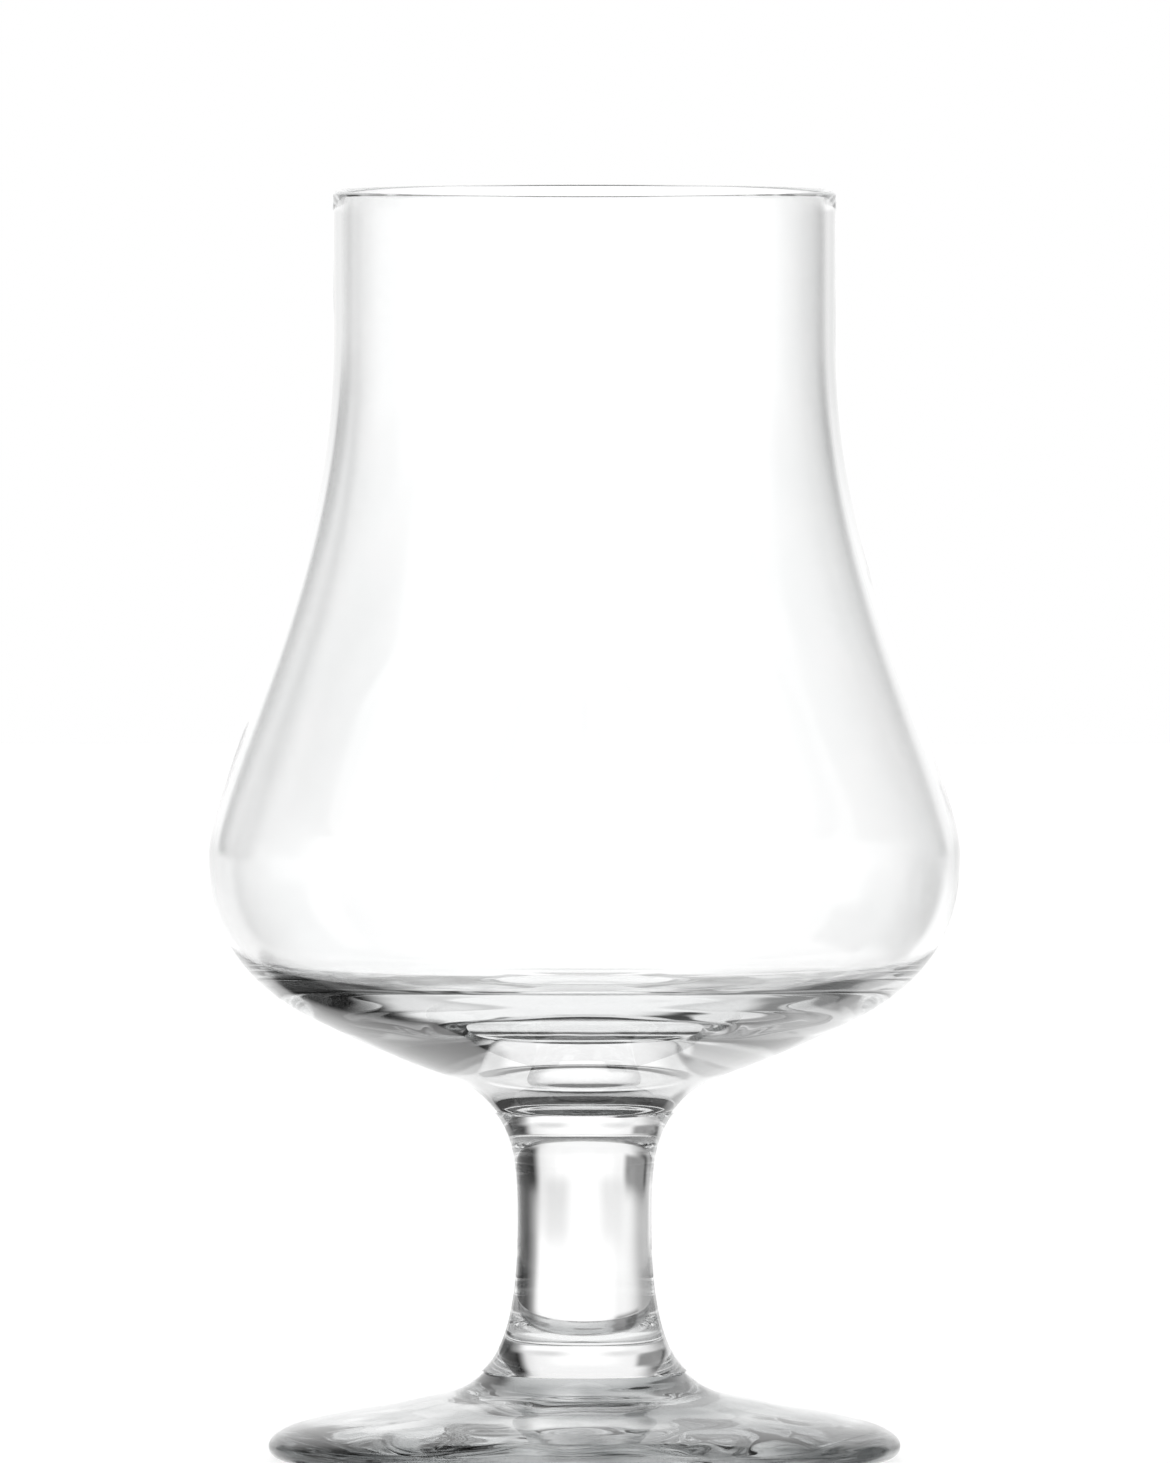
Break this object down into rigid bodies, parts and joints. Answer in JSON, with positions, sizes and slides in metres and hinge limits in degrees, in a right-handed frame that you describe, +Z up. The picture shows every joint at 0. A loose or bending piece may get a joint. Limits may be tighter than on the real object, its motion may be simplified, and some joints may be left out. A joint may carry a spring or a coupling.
{
  "type": "whisky nosing glass",
  "caption": "Clear tulip-shaped nosing glass with a wide belly, a narrow straight rim, a thick base, a short waisted stem and a round domed foot.",
  "frame": {"origin": "middle of the foot, on the table that the glass stands on", "axes": "+Z up along the axis of revolution, towards the rim; X and Y are any two level directions, as the glass is round"},
  "size_m": [0.0694, 0.0694, 0.117],
  "materials": {
    "clear_glass": "clear, fire-polished, smooth"
  },
  "bodies": {
    "root": {"bowl": "clear_glass", "stem": "clear_glass", "foot": "clear_glass"}
  },
  "joints": []
}
